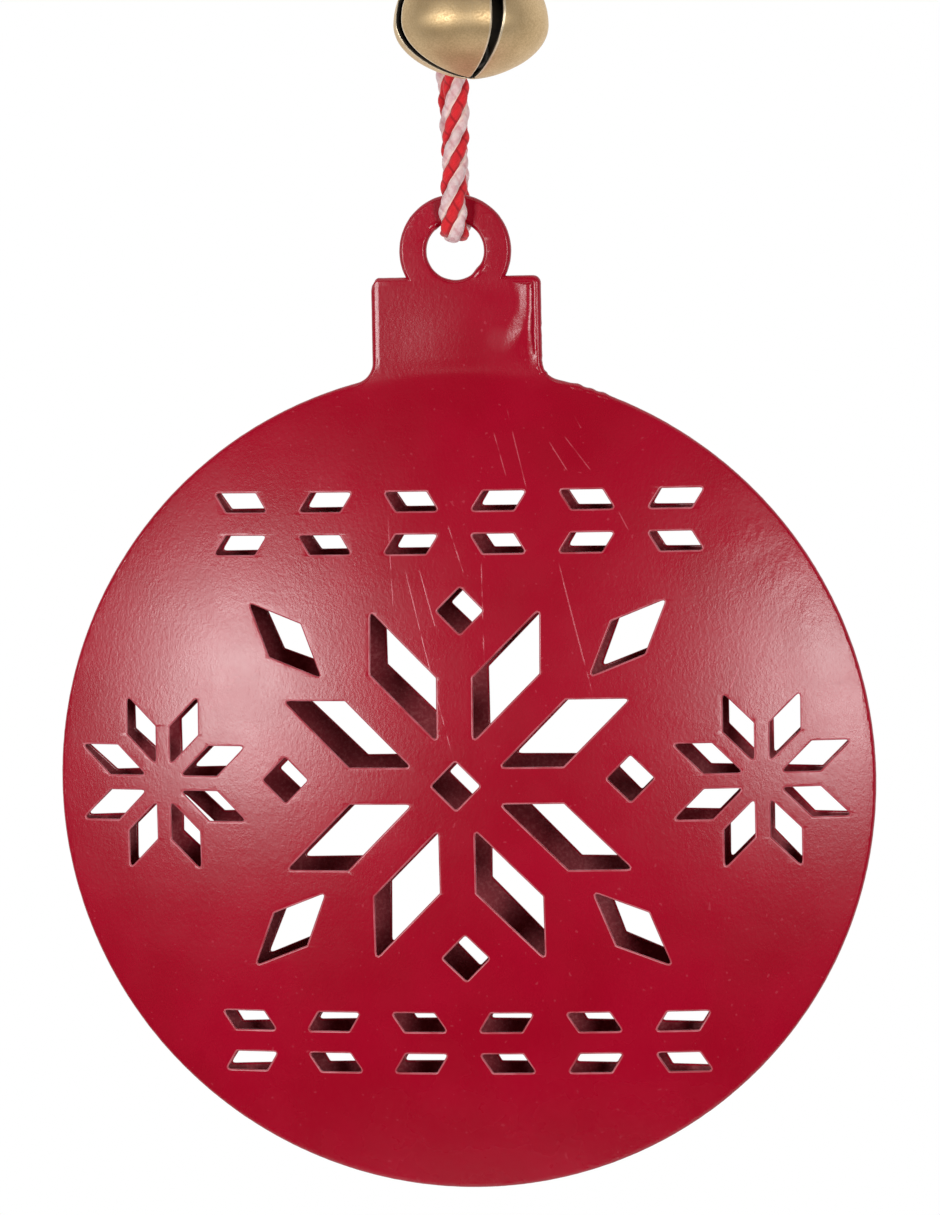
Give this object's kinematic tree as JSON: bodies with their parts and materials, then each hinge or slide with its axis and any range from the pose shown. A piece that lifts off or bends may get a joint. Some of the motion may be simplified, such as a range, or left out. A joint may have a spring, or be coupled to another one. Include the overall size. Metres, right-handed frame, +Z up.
{
  "type": "christmas ornament",
  "caption": "Flat round red metal bauble pierced with a snowflake pattern, hung on a twisted red and white cord that carries a brass jingle bell.",
  "frame": {"origin": "underside of the cord's hanging loop, where it rests on a hook", "axes": "+Z up along the hanging cord, -Y towards the viewer of the patterned front, +X to the viewer's right"},
  "size_m": [0.16, 0.0502, 0.3228],
  "materials": {
    "crimson_coat": "semi-gloss crimson powder coat with fine orange peel",
    "twisted_cord": "four-ply twisted cord, two crimson plies and two pale pink-white plies",
    "bell_brass": "satin bronze-gold plating",
    "pellet_steel": "plain drawn steel"
  },
  "bodies": {
    "hanger": {"cord_hanging_loop": "twisted_cord", "cord_knot": "twisted_cord"},
    "lower_cord": {"cord_ring_loop": "twisted_cord"},
    "bauble": {"front_shell": "crimson_coat", "back_shell": "crimson_coat"},
    "bell": {"bell_shell": "bell_brass", "bell_eye": "bell_brass"},
    "pellet": {"bell_pellet": "pellet_steel"}
  },
  "joints": [
    {"name": "bauble_spin", "type": "hinge", "parent": "hanger", "child": "lower_cord", "pos_m": [0, 0, -0.08255], "axis": [0, 0, 1], "range_deg": [-180, 180]},
    {"name": "bauble_swing", "type": "hinge", "parent": "lower_cord", "child": "bauble", "pos_m": [0, 0, -0.13301], "axis": [0, 1, 0], "range_deg": [-90, 90]},
    {"name": "bell_swing", "type": "hinge", "parent": "hanger", "child": "bell", "pos_m": [0.0065, -0.01665, -0.07496], "axis": [-1, 0, 0], "range_deg": [0, 70]},
    {"name": "pellet_roll", "type": "hinge", "parent": "bell", "child": "pellet", "pos_m": [0.0065, -0.01825, -0.0869], "axis": [1, 0, 0], "range_deg": [-57, 42]}
  ]
}
